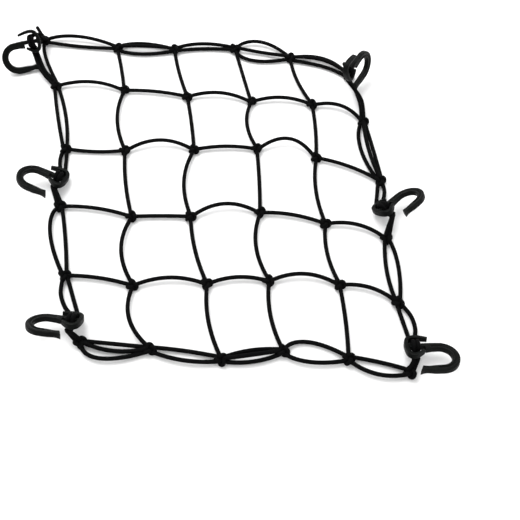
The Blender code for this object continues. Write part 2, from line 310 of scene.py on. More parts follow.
@dataclass
class NodeBench:
    """One material with its node tree, and the ways nodes are added to it."""

    name: str
    material: bpy.types.Material = field(init=False)
    shader: bpy.types.Node = field(init=False)

    def __post_init__(self) -> None:
        """Make the material with its Principled shader."""
        self.material = bpy.data.materials.new(self.name)
        self.material.use_nodes = True
        self.shader = self.material.node_tree.nodes["Principled BSDF"]

    def node(self, kind: str, settings: dict, inputs: dict) -> bpy.types.Node:
        """Add any node.

        Args:
            kind: the node's type name.
            settings: attributes that are set first, such as an operation.
            inputs: a value, Signal or socket for each named or numbered input.

        Returns:
            The new node.
        """
        made = self.material.node_tree.nodes.new(kind)
        for name, value in settings.items():
            setattr(made, name, value)
        self.connect(made, inputs)
        return made

    def connect(self, node: bpy.types.Node, inputs: dict) -> None:
        """Set or link the inputs of a node.

        Args:
            node: the node whose inputs are filled.
            inputs: a value, Signal or socket for each named or numbered input.
        """
        for name, value in inputs.items():
            socket = node.inputs[name]
            if isinstance(value, Signal):
                value = value.socket
            if isinstance(value, bpy.types.NodeSocket):
                self.material.node_tree.links.new(value, socket)
            else:
                socket.default_value = value

    def maths(self, operation: str, *values: Signal | float, clamp: bool = False) -> Signal:
        """Add a Math node and return its value."""
        made = self.node("ShaderNodeMath", {"operation": operation, "use_clamp": clamp},
                         dict(enumerate(values)))
        return Signal(self, made.outputs[0])

    def blend(self, share: Signal, first: Sequence[float] | bpy.types.NodeSocket,
              second: Sequence[float]) -> bpy.types.NodeSocket:
        """Mix two colours: the first at share 0, the second at share 1."""
        made = self.node("ShaderNodeMix", {"data_type": "RGBA"},
                         {0: share, 6: first, 7: second})
        return made.outputs[2]

    def noise(self, place: bpy.types.NodeSocket, scale: float, detail: float,
              rough: float = 0.5) -> Signal:
        """Noise of the given scale over a place vector."""
        made = self.node("ShaderNodeTexNoise", {},
                         {"Vector": place, "Scale": scale, "Detail": detail,
                          "Roughness": rough})
        return Signal(self, made.outputs["Fac"])

    def attribute(self, name: str) -> bpy.types.Node:
        """Read a mesh attribute."""
        return self.node("ShaderNodeAttribute", {"attribute_name": name}, {})

    def bump(self, height: Signal, depth: float, strength: float) -> None:
        """Let a height in units of depth (metres) raise the surface."""
        made = self.node("ShaderNodeBump", {},
                         {"Height": height, "Distance": depth, "Strength": strength})
        self.connect(self.shader, {"Normal": made.outputs["Normal"]})


# ---------- finishes
@dataclass(frozen=True)
class BraidedSheath:
    """Black braided sheath of elastic cord: two sets of flat yarns that cross on the slant."""

    name: str = "cord"
    yarns: int = 8                 # yarns of one set round the cord
    pitch: float = 1.25            # turns of a yarn round the cord in one girth of length
    edge: float = 0.6              # power that squares off the half sine of a yarn
    dip: float = 0.45              # share by which a yarn sinks between those it crosses
    fibre_scale: float = 2600.0    # noise of single fibres, per metre
    fade_scale: float = 14.0       # slow change of wear along the net, per metre
    crown: tuple = (0.0032, 0.0032, 0.0034, 1.0)
    # colour between the yarns, darkened as painted shade
    gap_shade: tuple = (0.0004, 0.0004, 0.0005, 1.0)
    rough: float = 0.62
    gloss: float = 0.03
    relief: float = 0.00022        # height of a yarn in metres

    def material(self) -> bpy.types.Material:
        """Build the finish on the cord's own UV map: round the cord and along it.

        Two counts run on the slant round the cord, one each way.  One set lies on
        top where the sum of both counts is odd and the other where it is even, so
        the two weave, and a yarn's height falls off across it as a half sine.

        Returns:
            The material.
        """
        bench = NodeBench(self.name)
        uv = bench.node("ShaderNodeUVMap", {"uv_map": "braid"}, {})
        split = bench.node("ShaderNodeSeparateXYZ", {}, {0: uv.outputs["UV"]})
        around = Signal(bench, split.outputs["X"]) * self.yarns
        along = Signal(bench, split.outputs["Y"]) * self.yarns * self.pitch
        left = around + along
        right = along - around
        left_part = (left.fraction() * math.pi).sine()
        right_part = (right.fraction() * math.pi).sine()
        turn = (left.whole() + right.whole()).modulo(2.0)
        rest = 1.0 - self.dip
        left_yarn = (left_part ** self.edge) * (rest + self.dip * right_part)
        right_yarn = (right_part ** self.edge) * (rest + self.dip * left_part)
        height = left_yarn * turn + right_yarn * (1.0 - turn)
        place = bench.node("ShaderNodeTexCoord", {}, {}).outputs["Object"]
        fibre = bench.noise(place, self.fibre_scale, 1.0)
        fade = bench.noise(place, self.fade_scale, 3.0)
        # Yarn height sets the colour: darker where a yarn sinks is painted shade, and the fibre
        # and fade noise add wear.
        painted_light_and_wear = (height * 0.8 + fibre * 0.35 - 0.1 + (fade - 0.5) * 0.5).clamped()
        bench.connect(bench.shader, {
            "Base Color": bench.blend(painted_light_and_wear, self.gap_shade, self.crown),
            "Roughness": self.rough + 0.16 * (1.0 - height) + 0.1 * (fibre - 0.5),
            "Specular IOR Level": self.gloss,
        })
        bench.bump(height + fibre * 0.22, self.relief, 0.9)
        return bench.material


@dataclass(frozen=True)
class MouldedPlastic:
    """Near-black moulded plastic with a fine spark-eroded grain, paler on its edges as wear and a
    painted highlight.
    """

    name: str
    body: tuple = (0.0013, 0.0017, 0.0015, 1.0)
    cloudy: tuple = (0.001755, 0.002295, 0.002025, 1.0)
    # pale colour of the edges: wear, with a painted highlight
    painted_light_and_wear: tuple = (0.060, 0.064, 0.060, 1.0)
    pale_edge_share: float = 0.75             # how much of the pale colour, wear and painted highlight, shows on an edge
    grain_scale: float = 3.4       # noise scales, per millimetre
    speck_scale: float = 6.5
    cloud_scale: float = 0.16
    rough: float = 0.42
    gloss: float = 0.06
    relief: float = 0.00016        # depth of the grain in metres

    def material(self) -> bpy.types.Material:
        """Build the finish on the moulding's own coordinates, kept in `mould`.

        Returns:
            The material.
        """
        bench = NodeBench(self.name)
        place = bench.attribute("mould").outputs["Vector"]
        edge = Signal(bench, bench.attribute("edge").outputs["Fac"])
        grain = bench.noise(place, self.grain_scale, 2.0, 0.6)
        cloud = bench.noise(place, self.cloud_scale, 3.0)
        speck = bench.noise(place, self.speck_scale, 1.0).between(0.58, 0.72)
        # Convex edges turn paler: partly wear, partly a painted highlight.
        edge_rub_and_highlight = (edge.between(0.2, 0.8) * (0.3 + speck * 0.7) * cloud.between(0.35, 0.6)).clamped()
        mottle = bench.blend(cloud.between(0.35, 0.7), self.body, self.cloudy)
        bench.connect(bench.shader, {
            "Base Color": bench.blend(edge_rub_and_highlight * self.pale_edge_share, mottle, self.painted_light_and_wear),
            "Roughness": self.rough + 0.16 * (grain - 0.5) + 0.12 * (cloud - 0.5) + 0.1 * edge_rub_and_highlight,
            "Specular IOR Level": self.gloss,
        })
        bench.bump(grain + 0.4 * speck, self.relief, 0.8)
        return bench.material


@dataclass(frozen=True)
class PaleFloor:
    """Plain white studio floor."""

    name: str = "white_floor"
    colour: tuple = (0.86, 0.86, 0.86, 1.0)
    rough: float = 0.85
    gloss: float = 0.1

    def material(self) -> bpy.types.Material:
        """Build the finish.

        Returns:
            The material.
        """
        bench = NodeBench(self.name)
        bench.connect(bench.shader, {"Base Color": self.colour, "Roughness": self.rough,
                                     "Specular IOR Level": self.gloss})
        return bench.material


# ---------- shared shape functions
CURVE_POINTS = 24          # points worked out between two given points of a curve
UNTWIST_PASSES = 60        # rounds of averaging that take the twist out of a tube
UPRIGHT_NUDGE = 1e-4 * np.array([1.0, 0.7, 0.0])   # gives an upright stretch a side direction


def unit(vectors: np.ndarray) -> np.ndarray:
    """Each vector divided by its length."""
    return vectors / np.linalg.norm(vectors, axis=-1, keepdims=True)


def flat_side(direction: np.ndarray) -> np.ndarray:
    """Level direction square to the given one, to its left."""
    return unit(np.array([-direction[1], direction[0], 0.0]))


def smooth_way(points: np.ndarray, step: float) -> np.ndarray:
    """Round a list of points off into an evenly stepped curve.

    Between two points the curve is the cubic that keeps, at each point, the
    slope from its two neighbours, with the square root of the chord lengths as
    parameter, so close points make no loops.

    Args:
        points: points of the way, one row each.
        step: distance of the stations.

    Returns:
        Stations, one row each, about step apart.
    """
    ends = np.vstack([2 * points[0] - points[1], points, 2 * points[-1] - points[-2]])
    gaps = np.sqrt(np.linalg.norm(np.diff(ends, axis=0), axis=1))
    knots = np.concatenate([[0.0], np.cumsum(gaps)])
    slopes = (ends[2:] - ends[:-2]) / (knots[2:] - knots[:-2])[:, None]
    share = np.linspace(0.0, 1.0, CURVE_POINTS, endpoint=False)[None, :, None]
    span = gaps[1:-1][:, None, None]
    start, end = ends[1:-2][:, None, :], ends[2:-1][:, None, :]
    first, last = slopes[:-1][:, None, :] * span, slopes[1:][:, None, :] * span
    rise = share * share * (3 - 2 * share)
    curve = (start * (1 - rise) + end * rise
             + first * share * (1 - share) ** 2 - last * share ** 2 * (1 - share))
    return even_way(np.vstack([curve.reshape(-1, 3), points[-1]]), step)


def even_way(points: np.ndarray, step: float) -> np.ndarray:
    """The same way with three or more stations an even distance apart, close to step."""
    run = run_along(points)
    return at_places(points, run, np.linspace(0.0, run[-1], max(3, round(run[-1] / step) + 1)))


def run_along(points: np.ndarray) -> np.ndarray:
    """Distance travelled from the first point to each point."""
    return np.concatenate([[0.0], np.cumsum(np.linalg.norm(np.diff(points, axis=0), axis=1))])


def at_places(points: np.ndarray, run: np.ndarray, places: np.ndarray) -> np.ndarray:
    """Points of a line at new places, given the run at each of its own points."""
    return np.column_stack([np.interp(places, run, axis) for axis in points.T])


def eased_line(line: np.ndarray, times: int) -> np.ndarray:
    """Ease the corners of a line by taking the mean of neighbours, ends kept.

    Args:
        line: points of the line, which are changed.
        times: how often the means are taken.

    Returns:
        The line.
    """
    for _ in range(times):
        line[1:-1] = (line[:-2] + line[1:-1] + line[2:]) / 3
    return line


def frames_along(way: np.ndarray, closed: bool) -> tuple[np.ndarray, np.ndarray]:
    """Side and over directions along a way, without twist.

    The side direction starts level.  Each station's is made square to the way
    and takes the mean of its neighbours', again and again, until it turns no
    more than the way does.

    Args:
        way: stations, one row each.
        closed: whether the last station is followed by the first.

    Returns:
        Side directions and over directions, one row each.
    """
    if closed:
        ahead = unit(np.roll(way, -1, axis=0) - np.roll(way, 1, axis=0))
    else:
        ahead = unit(np.gradient(way, axis=0))
    side = unit(np.cross(ahead, (0.0, 0.0, 1.0)) + UPRIGHT_NUDGE)
    flips = np.sign((side[1:] * side[:-1]).sum(axis=1))
    side[1:] *= np.cumprod(np.where(flips == 0, 1, flips))[:, None]
    for _ in range(UNTWIST_PASSES):
        before, after = np.roll(side, 1, axis=0), np.roll(side, -1, axis=0)
        if not closed:
            before[0], after[-1] = side[0], side[-1]
        side = before + after + side
        side -= ahead * (side * ahead).sum(axis=1, keepdims=True)
        side = unit(side)
    return side, np.cross(side, ahead)


@dataclass
class Surface:
    """Points, faces and the braid's coordinates of one mesh in the making."""

    points: list = field(default_factory=list)
    faces: list = field(default_factory=list)
    corners: list = field(default_factory=list)
    count: int = 0

    def add_grid(self, grid: np.ndarray, run: np.ndarray, closed: bool) -> None:
        """Add a tube given as rings of points.

        Args:
            grid: rings by sides by 3.
            run: distance along the tube at each ring, in girths.
            closed: whether the last ring joins the first; if not, both ends are capped.
        """
        rings, sides = grid.shape[:2]
        ring = np.arange(rings if closed else rings - 1)[:, None]
        side = np.arange(sides)[None, :]
        after, beside = (ring + 1) % rings, (side + 1) % sides
        quads = np.stack([ring * sides + side, ring * sides + beside,
                          after * sides + beside, after * sides + side], axis=-1)
        self.faces.extend((quads.reshape(-1, 4) + self.count).tolist())
        u = (side / sides + 0 * ring, (side + 1) / sides + 0 * ring)
        v = (run[:len(ring), None] + 0 * side, run[1:, None] + 0 * side)
        uv = np.stack([np.stack([u[i], v[k]], -1) for i, k in ((0, 0), (1, 0), (1, 1), (0, 1))], 2)
        self.corners.append(uv.reshape(-1, 2))
        if not closed:
            start = np.arange(sides)[::-1] + self.count
            end = np.arange(sides) + self.count + (rings - 1) * sides
            self.faces.extend([start.tolist(), end.tolist()])
            around = np.linspace(0.0, 1.0, sides, endpoint=False)
            for place, order in ((run[0], around[::-1]), (run[-1], around)):
                self.corners.append(np.column_stack([order, np.full(sides, place)]))
        self.points.append(grid.reshape(-1, 3))
        self.count += rings * sides

    def add_cord(self, way: np.ndarray, radius: float, sides: int, closed: bool = False,
                 cut: bool = False, start: float = 0.0) -> None:
        """Carry a round cord along a way.

        A point of ring s at angle a is way(s) + radius (cos a side + sin a over).

        Args:
            way: stations, one row each.
            radius: radius of the cord.
            sides: sides round the cord.
            closed: whether the way is a loop.
            cut: whether the end shows and is rounded off as a sealed cut.
            start: place of the first ring along the braid, in girths.
        """
        side, over = frames_along(way, closed)
        angle = np.linspace(0.0, 2 * math.pi, sides, endpoint=False)
        reach = np.full(len(way), radius)
        if cut:
            reach[-len(CUT_SHAPE):] = radius * np.array(CUT_SHAPE)
        ring = (np.cos(angle)[None, :, None] * side[:, None, :]
                + np.sin(angle)[None, :, None] * over[:, None, :])
        grid = way[:, None, :] + reach[:, None, None] * ring
        line = np.vstack([way, way[:1]]) if closed else way
        run = run_along(line) / (2 * math.pi * radius) + start
        if closed:
            run = run * (max(1, round(run[-1])) / run[-1])
        self.add_grid(grid, run, closed)

    def mesh(self, name: str) -> bpy.types.Mesh:
        """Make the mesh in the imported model's frame, smooth, with its braid map.

        Args:
            name: name of the mesh.

        Returns:
            The mesh.
        """
        made = bpy.data.meshes.new(name)
        made.from_pydata(placed(np.vstack(self.points)), [], self.faces)
        write_rows(made.uv_layers.new(name="braid").data, "uv", np.vstack(self.corners))
        made.shade_smooth()
        return made


def placed(points: np.ndarray) -> np.ndarray:
    """Maker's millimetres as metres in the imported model's frame."""
    return (points - (*MIDDLE, 0.0)) * MM


def in_scene(name: str, data: bpy.types.ID) -> bpy.types.Object:
    """Put a mesh, a lamp or a camera into the scene.

    Args:
        name: name of the object.
        data: what it shows.

    Returns:
        The object.
    """
    made = bpy.data.objects.new(name, data)
    bpy.context.scene.collection.objects.link(made)
    return made


def piece_from(mesh: bpy.types.Mesh, name: str, material: bpy.types.Material) -> bpy.types.Object:
    """Put a mesh into the scene as a piece.

    Args:
        mesh: shape of the piece.
        name: name of the piece.
        material: its one material.

    Returns:
        The piece.
    """
    mesh.materials.clear()
    mesh.materials.append(material)
    return in_scene(name, mesh)


def read_rows(items: bpy.types.bpy_prop_collection, name: str, width: int,
              kind: type = np.float32) -> np.ndarray:
    """Read one property of all points or edges of a mesh.

    Args:
        items: the points or edges.
        name: the property.
        width: how many numbers it has.
        kind: type of the numbers.

    Returns:
        One row for each item.
    """
    flat = np.empty(len(items) * width, kind)
    items.foreach_get(name, flat)
    return flat.reshape(-1, width)


def write_rows(items: bpy.types.bpy_prop_collection, name: str, rows: np.ndarray) -> None:
    """Set one property of all items of a collection from rows."""
    items.foreach_set(name, rows.astype(np.float32).ravel())


def hook_axes(heading: float, rise: float, roll: float) -> np.ndarray:
    """Axes of a hook that lies in a given way.

    Args:
        heading: compass direction of the stem, in degrees.
        rise: its slope.
        roll: turn of the hook about it.

    Returns:
        Three columns: up the stem, to its side, out of the hook's front.
    """
    a, b, c = (math.radians(d) for d in (heading, rise, roll))
    up = np.array([math.cos(a) * math.cos(b), math.sin(a) * math.cos(b), math.sin(b)])
    level = np.array([-math.sin(a), math.cos(a), 0.0])
    side = math.cos(c) * level + math.sin(c) * np.cross(up, level)
    return np.column_stack([up, side, np.cross(up, side)])


# ---------- the net
@dataclass
class CargoNet:
    """The knotted net: single cords inside, a border of loose cords, 36 knots and one cut end."""

    sides: int = 14                # sides round a cord
    step: float = 2.2              # distance of rings along a free span,
    thread_step: float = 1.3       # through a hook's head,
    cut_step: float = 1.0          # and along the cut end
    hump_points: int = 60          # points worked out along a free span
    knot_size: float = 1.85        # scale of a knot's wraps,
    border_scale: float = 1.08     # and how much larger they are where the border is tied in
    knot_rise: float = 2.6         # half the height between crossing wraps
    knot_cord: float = 2.4         # cord radius where the knot squeezes it
    knot_rings: int = 46
    knot_sides: int = 12
    surface: Surface = field(default_factory=Surface)
    lengths: list = field(default_factory=list)

    @staticmethod
    def knot_point(row: int, column: int) -> np.ndarray:
        """Middle of the knot at a crossing."""
        return np.array([KNOT_X[row][column], KNOT_Y[row][column], KNOT_HEIGHT], float)

    @staticmethod
    def span_ends(a: np.ndarray, b: np.ndarray,
                  shift: np.ndarray | float) -> tuple[np.ndarray, np.ndarray]:
        """Start and end of a cord inside its two knots, shifted from their middles."""
        along = unit(b - a)
        return a + along * CORD_START + shift, b - along * CORD_START + shift

    def bowed(self, start: np.ndarray, end: np.ndarray, outward: np.ndarray, bow: float,
              lift: float, peak: float = 0.5) -> np.ndarray:
        """Way of a span between two knots.

        The hump is 4 h (1 - h), where h is the share of the way raised to the
        power that puts its middle at the peak; it bows sideways and lifts.

        Args:
            start: first point.
            end: last point.
            outward: level direction of the bow.
            bow: widest sideways distance.
            lift: height of the middle over a cord on the ground.
            peak: share of the span at which the bow is widest.

        Returns:
            Stations of the way.
        """
        t = np.linspace(0.0, 1.0, self.hump_points)[:, None]
        share = t ** (math.log(0.5) / math.log(peak))
        hump = 4 * share * (1 - share)
        way = start * (1 - t) + end * t + hump * bow * outward
        way[:, 2:] += hump * (LOW + lift - (start[2] + end[2]) / 2)
        way[:, 2] = np.maximum(way[:, 2], LOW)
        return even_way(way, self.step)

    def lay(self, way: np.ndarray, cut: bool = False) -> None:
        """Add one cord of full thickness along a way and note its length."""
        self.surface.add_cord(way, CORD_RADIUS, self.sides, cut=cut,
                              start=sum(self.lengths) / (2 * math.pi * CORD_RADIUS))
        self.lengths.append(float(run_along(way)[-1]))

    def inner_cords(self) -> None:
        """Four single cords across and four along."""
        for line in range(1, ROWS - 1):
            for n in range(ROWS - 1):
                for ends, bow, turn in (
                    (((line, n), (line, n + 1)), CROSS_BOW[line - 1][n], 1.0),
                    (((n, line), (n + 1, line)), LENGTH_BOW[line - 1][n], -1.0),
                ):
                    start, end = self.span_ends(*(self.knot_point(*knot) for knot in ends), 0.0)
                    outward = flat_side(end - start) * turn
                    self.lay(self.bowed(start, end, outward, bow, LIFT + LIFT_BY_BOW * bow))

    def side_knots(self, side: str, n: int) -> tuple[np.ndarray, np.ndarray, np.ndarray]:
        """Where a border span lies.

        Args:
            side: side of the border.
            n: number of the span along it.

        Returns:
            Middles of its two knots, and the level direction out of the net.
        """
        last = ROWS - 1
        first, second, sign = {
            "far": ((0, n), (0, n + 1), 1.0),
            "near": ((last, n), (last, n + 1), -1.0),
            "left": ((n, 0), (n + 1, 0), -1.0),
            "right": ((n, last), (n + 1, last), 1.0),
        }[side]
        a, b = self.knot_point(*first), self.knot_point(*second)
        return a, b, flat_side(b - a) * sign

    def border_cords(self) -> None:
        """Cords of the border that pass through no hook: up to three along a span."""
        for side, spans in BORDER.items():
            for n, cords in enumerate(spans):
                a, b, outward = self.side_knots(side, n)
                for (bow, lift, peak), (place, rise) in zip(cords, BUNDLE.get(len(cords), ())):
                    shift = outward * place * SIDE_STEP + (0.0, 0.0, rise)
                    start, end = self.span_ends(a, b, shift)
                    self.lay(self.bowed(start, end, outward, bow, lift, peak))

    def threaded_cords(self) -> None:
        """Cords of the border that pass through the heads of the hooks."""
        for side, n, name, approach, bows, after in THREADED:
            a, b, outward = self.side_knots(side, n)
            *pose, x, y, z, under = HOOKS[name]
            before, skip, behind = approach.value
            for k, bow in enumerate(bows):
                local = np.array(before + THREAD[skip:] + behind, float)
                local[:, 0] += k * SECOND_UP
                local[-NARROW - len(behind):, 1] += k * SECOND_SIDE
                local[:, 2] *= under
                inside = local @ hook_axes(*pose).T + (x, y, z)
                inside[:, 2] = np.maximum(inside[:, 2], LOW)
                # Of two cords the first one leaves its knots on the inner side.
                shift = outward * SIDE_STEP * (1.0 if k or len(bows) == 1 else -1.0)
                first = a + unit(inside[0] - a) * CORD_START + shift
                final = b + unit(inside[-1] - b) * CORD_START + shift
                t = np.array(BOWED_LEAD if bow else LEAD)[:, None]
                lead = first + (inside[0] - first) * t + outward * bow * 4 * t * (1 - t)
                trail = (final + inside[-1]) / 2 + outward * after
                way = smooth_way(np.vstack([first, lead, inside, trail, final]), self.thread_step)
                way[:, 2] = np.maximum(way[:, 2], LOW)
                self.lay(way)

    def cut_end(self) -> None:
        """The short cut end that stands out of the far left knot."""
        corner, tip = self.knot_point(0, 0), np.array(CUT_TIP)
        middle = (corner + tip) / 2 + CUT_BOW
        self.lay(smooth_way(np.vstack([corner + CUT_ROOT, middle, tip]), self.cut_step), cut=True)

    @staticmethod
    def knot_pose(row: int, column: int) -> np.ndarray:
        """Turn and tilt of a knot, which differ between neighbours.

        Args:
            row: cross cord of the knot.
            column: lengthwise cord of the knot.

        Returns:
            Axes of the knot as columns.
        """
        turn = math.radians(KNOT_TURN + COARSE_TURN * ((row * 5 + column * 3) % 4)
                            + FINE_TURN * ((row * 2 + column) % 5))
        tilt = math.radians(KNOT_TILT * ((row * 3 + column * 2) % 5 - 2))
        spin = np.array([[math.cos(turn), -math.sin(turn), 0.0],
                         [math.sin(turn), math.cos(turn), 0.0], [0.0, 0.0, 1.0]])
        lean = np.array([[1.0, 0.0, 0.0], [0.0, math.cos(tilt), -math.sin(tilt)],
                         [0.0, math.sin(tilt), math.cos(tilt)]])
        return spin @ lean

    def knot(self, row: int, column: int) -> None:
        """Tie one knot: the wraps of an overhand knot drawn tight round the crossing.

        The way of the wraps is x = sin t + 2 sin 2t, y = cos t - 2 cos 2t,
        z = -sin 3t, which crosses itself three times, then turned and tilted.

        Args:
            row: cross cord of the knot.
            column: lengthwise cord of the knot.
        """
        t = np.linspace(0.0, 2 * math.pi, self.knot_rings, endpoint=False)
        border = row in (0, ROWS - 1) or column in (0, ROWS - 1)
        size = self.knot_size * (self.border_scale if border else 1.0)
        way = np.column_stack([
            (np.sin(t) + 2 * np.sin(2 * t)) * size,
            (np.cos(t) - 2 * np.cos(2 * t)) * size,
            -np.sin(3 * t) * self.knot_rise,
        ])
        way = way @ self.knot_pose(row, column).T + self.knot_point(row, column)
        way[:, 2] = np.maximum(way[:, 2], self.knot_cord)
        self.surface.add_cord(way, self.knot_cord, self.knot_sides, closed=True)

    def build(self) -> bpy.types.Object:
        """Lay every cord, tie every knot and dress the net.

        Returns:
            The net as one piece.
        """
        self.inner_cords()
        self.border_cords()
        self.threaded_cords()
        self.cut_end()
        for row in range(ROWS):
            for column in range(ROWS):
                self.knot(row, column)
        net = piece_from(self.surface.mesh("cargo_net"), "cargo_net", BraidedSheath().material())
        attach(net, "root")
        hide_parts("net")
        return net


# ---------- the hooks
# Flared tail above the bend, and the stepped arm on the other side, in the hook's
# own plane: up and side of the outer edge, then up and side of the inner edge.
TAIL = (
    (9.7, 20.0, 9.7, 12.2),
    (17.2, 18.4, 15.8, 12.8),
    (21.4, 18.7, 19.2, 12.2),
    (26.0, 20.4, 21.4, 11.6),
)
STEP = (
    (6.8, -19.6, 6.8, -11.9),
    (13.8, -18.2, 13.3, -10.8),
)
# Stem, and the head's two prongs from tip to tip: up, side and half width.
STEM = (
    (-4.9, -17.8, 2.3),
    (9.7, -18.3, 2.6),
    (23.3, -18.1, 2.5),
    (30.0, -17.8, 2.5),
    (33.5, -17.5, 3.0),
)
HEAD = (
    (8.4, -28.8, 1.5),
    (18.2, -31.0, 2.0),
    (26.4, -31.2, 2.1),
    (30.7, -28.6, 2.2),
    (32.6, -23.3, 2.3),
    (32.8, -17.5, 2.4),
    (32.5, -12.2, 2.3),
    (30.8, -7.5, 2.2),
    (26.7, -5.2, 2.1),
    (22.0, -6.5, 2.0),
    (15.0, -11.0, 1.5),
)


@dataclass
class NetHook:
    """One plastic hook in its own axes, and its six places on the net."""

    bend_in: float = 11.9          # inner and outer radius of the bend
    bend_out: float = 20.4
    depth: float = 6.8
    stem_depth: float = 6.4
    head_depth: float = 7.4
    head_taper: float = 1.2        # how much thinner the prongs are at their tips
    groove_width: float = 1.7
    groove_depth: float = 1.3
    groove_place: float = 14.9     # radius of the groove's middle
    groove_start: float = 17.0     # its distance from the end of the tail,
    groove_stop: float = 5.5       # and from the end of the step
    groove_fade: float = 1.6
    squareness: float = 6.0        # power of the superellipse that a section is
    outline: int = 120             # points round a section,
    outline_turn: float = 0.013    # turned so that none lies on a corner of it
    bend_points: int = 60
    rings: int = 260               # stations along the grooved bar,
    line_rounds: int = 5           # and rounds of easing of its edges
    limb_step: float = 0.4
    cell: float = 0.36             # size of the cells that the limbs are fused in
    skin_rounds: int = 3           # rounds of easing of the fused skin,
    edge_rounds: int = 6           # and further ones that show where it has edges
    edge_gain: float = 3.0
    grain_shift: float = 40.0      # keeps the grain of the six hooks unlike

    def groove(self, run: np.ndarray, across: np.ndarray) -> np.ndarray:
        """Depth of the groove, a round channel, where run is the share of its full depth."""
        side = np.clip(1 - (across / (self.groove_width / 2)) ** 2, 0, 1) ** 0.5
        return self.groove_depth * side * run

    def section(self, half_width: np.ndarray, half_depth: np.ndarray, notch_place: np.ndarray,
                notch: np.ndarray | None) -> tuple[np.ndarray, np.ndarray]:
        """Rounded bar section at each station, as offsets across and through.

        The outline is a superellipse of a high power, so the faces are flat and
        the edges soft; a notch lowers both faces.

        Args:
            half_width: half width at each station.
            half_depth: half depth at each station.
            notch_place: middle of the groove across the section.
            notch: share of the full groove at each station, if there is one.

        Returns:
            Offsets across and through, stations by outline points.
        """
        angle = np.linspace(0.0, 2 * math.pi, self.outline, endpoint=False) + self.outline_turn
        x, y = (np.sign(wave) * np.abs(wave) ** (2 / self.squareness)
                for wave in (np.cos(angle), np.sin(angle)))
        across = half_width[:, None] * x[None, :]
        through = half_depth[:, None] * y[None, :]
        if notch is not None:
            cut = self.groove(notch[:, None], across - notch_place[:, None])
            through = np.sign(through) * np.maximum(np.abs(through) - cut, 0.0)
        return across, through

    def bar(self, outer: np.ndarray, inner: np.ndarray, depth: np.ndarray,
            notch: np.ndarray | None = None) -> np.ndarray:
        """Ruled bar between an outer and an inner edge line.

        A point is the middle, plus across from inner to outer, plus through to the front.

        Args:
            outer: outer edge points in the hook's plane.
            inner: inner edge points.
            depth: depth at each station.
            notch: share of the full groove at each station, if there is one.

        Returns:
            Rings by outline points by 3.
        """
        middle, half = (outer + inner) / 2, np.linalg.norm(outer - inner, axis=1) / 2
        place = self.groove_place - self.bend_in - half
        across, through = self.section(half, depth / 2, place, notch)
        facing = unit(outer - inner)
        plane = middle[:, None, :] + across[:, :, None] * facing[:, None, :]
        return np.concatenate([plane, through[:, :, None]], axis=2)

    def edge_lines(self) -> tuple[np.ndarray, np.ndarray]:
        """Edges of the grooved bar: the tail, a half circle of the bend's radius, the step.

        Returns:
            Outer and inner edge points in the hook's plane, from the tail to the step.
        """
        angle = np.linspace(0.0, math.pi, self.bend_points)[:, None]
        arc = np.hstack([-np.sin(angle), np.cos(angle)])
        tail, step = np.array(TAIL)[::-1], np.array(STEP)
        outer = np.vstack([tail[:, :2], arc * self.bend_out, step[:, :2]])
        inner = np.vstack([tail[:, 2:], arc * self.bend_in, step[:, 2:]])
        return outer, inner

    def grooved_bar(self) -> np.ndarray:
        """Bend with its tail and its stepped arm.

        Returns:
            Rings by outline points by 3.
        """
        edges = self.edge_lines()
        run = run_along(sum(edges) / 2)
        places = np.linspace(0.0, run[-1], self.rings)
        outer, inner = (eased_line(at_places(line, run, places), self.line_rounds)
                        for line in edges)
        first, last = self.groove_start, run[-1] - self.groove_stop
        fade = (np.clip((places - first) / self.groove_fade, 0, 1)
                * np.clip((last - places) / self.groove_fade, 0, 1))
        return self.bar(outer, inner, np.full(len(places), self.depth), fade ** 0.5)

    def limb(self, rows: Sequence[Sequence[float]], depth: float, end_depth: float) -> np.ndarray:
        """Bar along a smooth line with its half width at each place.

        Its depth changes with the cube of the distance from its middle.

        Args:
            rows: up, side and half width at each place.
            depth: depth in the middle of the limb.
            end_depth: depth at both ends.

        Returns:
            Rings by outline points by 3.
        """
        line = smooth_way(np.array(rows, float), self.limb_step)
        ahead = unit(np.gradient(line[:, :2], axis=0))
        square = np.column_stack([-ahead[:, 1], ahead[:, 0]])
        width = line[:, 2:]
        place = np.linspace(-1.0, 1.0, len(line))
        through = depth + (end_depth - depth) * np.abs(place) ** 3
        return self.bar(line[:, :2] + square * width, line[:, :2] - square * width, through)

    def fuse(self, bodies: Iterable[np.ndarray]) -> bpy.types.Mesh:
        """Fuse closed bodies into one skin of even small cells.

        Args:
            bodies: rings by outline points by 3 of each body.

        Returns:
            Mesh of the skin.
        """
        surface = Surface()
        for grid in bodies:
            surface.add_grid(grid, np.zeros(len(grid)), False)
        rough = bpy.data.meshes.new("limbs")
        rough.from_pydata(np.vstack(surface.points), [], surface.faces)
        body = in_scene("limbs", rough)
        cells = body.modifiers.new("fuse", "REMESH")
        cells.mode = "VOXEL"
        cells.voxel_size = self.cell
        graph = bpy.context.evaluated_depsgraph_get()
        skin = bpy.data.meshes.new_from_object(body.evaluated_get(graph))
        bpy.data.objects.remove(body, do_unlink=True)
        bpy.data.meshes.remove(rough)
        return skin

    @staticmethod
    def soften(points: np.ndarray, edges: np.ndarray, times: int) -> np.ndarray:
        """Ease a skin: each point moves half way to the mean of its neighbours.

        Args:
            points: points of the skin.
            edges: the two point numbers of each edge.
            times: how often they move.

        Returns:
            The moved points.
        """
        ties = np.bincount(edges.ravel(), minlength=len(points))[:, None]
        for _ in range(times):
            total = np.zeros_like(points)
            for a, b in ((0, 1), (1, 0)):
                for k in range(3):
                    total[:, k] += np.bincount(edges[:, a], points[edges[:, b], k], len(points))
            points = points + 0.5 * (total / ties - points)
        return points

